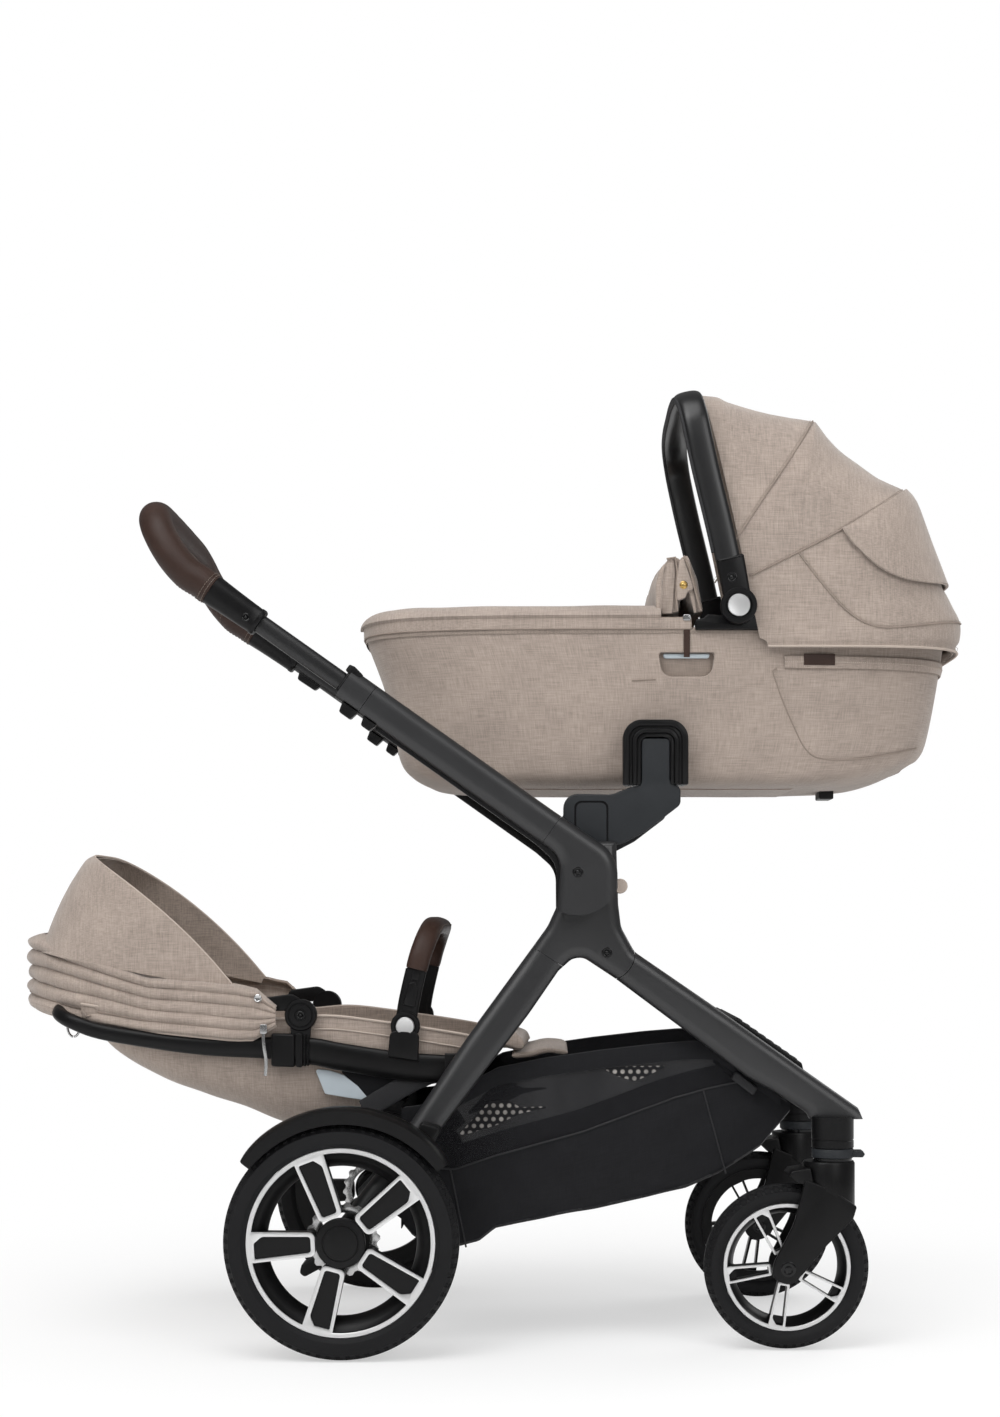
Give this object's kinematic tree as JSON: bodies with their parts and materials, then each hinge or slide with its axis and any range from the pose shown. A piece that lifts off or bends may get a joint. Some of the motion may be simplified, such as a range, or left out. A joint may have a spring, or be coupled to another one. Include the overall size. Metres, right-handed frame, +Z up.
{
  "type": "convertible stroller",
  "caption": "Folding pushchair frame with telescoping handle, carrycot with pram hood above, reclined sibling seat below, mesh basket, sprung rear wheels and swivel front casters",
  "frame": {"origin": "centre of the bounding box at floor level", "axes": "+X front of the stroller, +Y its left side (far side in the picture), +Z up"},
  "size_m": [1.184, 0.606, 1.2269],
  "materials": {
    "frame_tube": "satin charcoal anodised",
    "black_plastic": "satin black moulded",
    "slate_plastic": "dark slate moulded",
    "tyre_rubber": "matt foam-filled tyre",
    "silver_metal": "brushed silver",
    "brown_leather": "dark brown stitched leather",
    "taupe_fabric": "taupe melange weave",
    "charcoal_fabric": "charcoal fine mesh",
    "pale_padding": "pale padded knit"
  },
  "bodies": {
    "chassis": {"hub_near": "frame_tube", "hub_far": "frame_tube", "rear_leg_near": "frame_tube", "rear_leg_far": "frame_tube", "fender_near": "black_plastic", "fender_far": "black_plastic", "adaptor_near": "slate_plastic", "adaptor_far": "slate_plastic", "seat_mount_near": "black_plastic", "seat_mount_far": "black_plastic", "hub_cross_tube": "frame_tube", "rear_axle": "frame_tube", "basket": "charcoal_fabric"},
    "push_frame": {"arm_near": "frame_tube", "arm_far": "frame_tube", "collar_near": "black_plastic", "collar_far": "black_plastic"},
    "handle": {"handle_tube_near": "frame_tube", "handle_tube_far": "frame_tube", "sleeve_near": "black_plastic", "sleeve_far": "black_plastic", "handle_grip": "brown_leather"},
    "front_frame": {"front_leg_near": "frame_tube", "front_leg_far": "frame_tube", "caster_near": "black_plastic", "caster_far": "black_plastic", "front_cross_tube": "frame_tube", "footboard": "black_plastic"},
    "pedal": {"brake_pedal": "black_plastic"},
    "carrycot": {"carrycot_tub": "taupe_fabric", "carrycot_mattress": "pale_padding", "carrycot_apron": "taupe_fabric", "carrycot_base": "black_plastic", "receiver_near": "black_plastic", "receiver_far": "black_plastic"},
    "arch": {"carry_arch": "black_plastic", "carrycot_canopy": "taupe_fabric"},
    "seat": {"seat_shell": "taupe_fabric", "seat_rail": "black_plastic"},
    "backrest": {"seat_backrest": "pale_padding"},
    "leg_rest_panel": {"leg_rest": "pale_padding"},
    "seat_hood": {"seat_canopy": "taupe_fabric"},
    "bumper": {"bumper_bar": "brown_leather"},
    "fork_near": {"fork_near": "black_plastic"},
    "front_wheel_near": {"front_tyre_near": "tyre_rubber", "front_rim_near": "black_plastic"},
    "lock_near": {"swivel_lock_near": "black_plastic"},
    "rear_wheel_near": {"rear_tyre_near": "tyre_rubber", "rear_rim_near": "black_plastic"},
    "arch_button_near": {"arch_button_near": "silver_metal"},
    "bumper_button_near": {"bumper_button_near": "silver_metal"},
    "fork_far": {"fork_far": "black_plastic"},
    "front_wheel_far": {"front_tyre_far": "tyre_rubber", "front_rim_far": "black_plastic"},
    "lock_far": {"swivel_lock_far": "black_plastic"},
    "rear_wheel_far": {"rear_tyre_far": "tyre_rubber", "rear_rim_far": "black_plastic"},
    "arch_button_far": {"arch_button_far": "silver_metal"},
    "bumper_button_far": {"bumper_button_far": "silver_metal"}
  },
  "joints": [
    {"name": "fold", "type": "hinge", "parent": "chassis", "child": "push_frame", "pos_m": [0.102, 0, 0.6], "axis": [0, 1, 0], "range_deg": [0, 165]},
    {"name": "handle_telescope", "type": "slide", "parent": "push_frame", "child": "handle", "axis": [0.8161, 0, -0.5779], "range_m": [0, 0.1]},
    {"name": "front_leg_fold", "type": "hinge", "parent": "chassis", "child": "front_frame", "pos_m": [0.139, 0, 0.499], "axis": [0, 1, 0], "range_deg": [0, 55], "deforming": ["basket"]},
    {"name": "brake", "type": "hinge", "parent": "chassis", "child": "pedal", "pos_m": [-0.189, 0, 0.145], "axis": [0, -1, 0], "range_deg": [0, 18]},
    {"name": "carrycot_lift", "type": "slide", "parent": "chassis", "child": "carrycot", "axis": [0, 0, 1], "range_m": [0, 0.09]},
    {"name": "arch_tilt", "type": "hinge", "parent": "carrycot", "child": "arch", "pos_m": [0.306, 0, 0.938], "axis": [0, 1, 0], "range_deg": [0, 60], "deforming": ["carrycot_canopy"]},
    {"name": "seat_lift", "type": "slide", "parent": "chassis", "child": "seat", "axis": [0, 0, 1], "range_m": [0, 0.08]},
    {"name": "backrest_recline", "type": "hinge", "parent": "seat", "child": "backrest", "pos_m": [-0.214, 0, 0.296], "axis": [0, 1, 0], "range_deg": [0, 35]},
    {"name": "leg_rest_tilt", "type": "hinge", "parent": "seat", "child": "leg_rest_panel", "pos_m": [-0.0055, 0, 0.372], "axis": [0, -1, 0], "range_deg": [0, 35]},
    {"name": "seat_hood_tilt", "type": "hinge", "parent": "seat", "child": "seat_hood", "pos_m": [-0.25, 0, 0.419], "axis": [0, -1, 0], "range_deg": [0, 35], "deforming": ["seat_canopy"]},
    {"name": "bumper_tilt", "type": "hinge", "parent": "seat", "child": "bumper", "pos_m": [-0.117, 0, 0.405], "axis": [0, 1, 0], "range_deg": [0, 60]},
    {"name": "swivel_near", "type": "hinge", "parent": "front_frame", "child": "fork_near", "pos_m": [0.424, -0.2, 0.238], "axis": [0, 0, 1], "continuous": true},
    {"name": "front_spin_near", "type": "hinge", "parent": "fork_near", "child": "front_wheel_near", "pos_m": [0.365, -0.2, 0.1038], "axis": [0, 1, 0], "continuous": true},
    {"name": "swivel_lock_near", "type": "hinge", "parent": "front_frame", "child": "lock_near", "pos_m": [0.424, -0.2, 0.245], "axis": [0, 0, 1], "range_deg": [-15, 15]},
    {"name": "rear_spin_near", "type": "hinge", "parent": "chassis", "child": "rear_wheel_near", "pos_m": [-0.189, -0.2775, 0.145], "axis": [0, 1, 0], "continuous": true},
    {"name": "arch_button_near", "type": "slide", "parent": "arch", "child": "arch_button_near", "axis": [0, 1, 0], "range_m": [0, 0.002], "stiffness_N_per_m": 400},
    {"name": "bumper_button_near", "type": "slide", "parent": "seat", "child": "bumper_button_near", "axis": [0, 1, 0], "range_m": [0, 0.002], "stiffness_N_per_m": 400},
    {"name": "swivel_far", "type": "hinge", "parent": "front_frame", "child": "fork_far", "pos_m": [0.424, 0.2, 0.238], "axis": [0, 0, 1], "continuous": true},
    {"name": "front_spin_far", "type": "hinge", "parent": "fork_far", "child": "front_wheel_far", "pos_m": [0.365, 0.2, 0.1038], "axis": [0, 1, 0], "continuous": true},
    {"name": "swivel_lock_far", "type": "hinge", "parent": "front_frame", "child": "lock_far", "pos_m": [0.424, 0.2, 0.245], "axis": [0, 0, 1], "range_deg": [-15, 15]},
    {"name": "rear_spin_far", "type": "hinge", "parent": "chassis", "child": "rear_wheel_far", "pos_m": [-0.189, 0.2775, 0.145], "axis": [0, 1, 0], "continuous": true},
    {"name": "arch_button_far", "type": "slide", "parent": "arch", "child": "arch_button_far", "axis": [0, -1, 0], "range_m": [0, 0.002], "stiffness_N_per_m": 400},
    {"name": "bumper_button_far", "type": "slide", "parent": "seat", "child": "bumper_button_far", "axis": [0, -1, 0], "range_m": [0, 0.002], "stiffness_N_per_m": 400}
  ],
  "couplings": [
    {"joint": "front_leg_fold", "follows": "fold", "ratio": 0.33333}
  ]
}
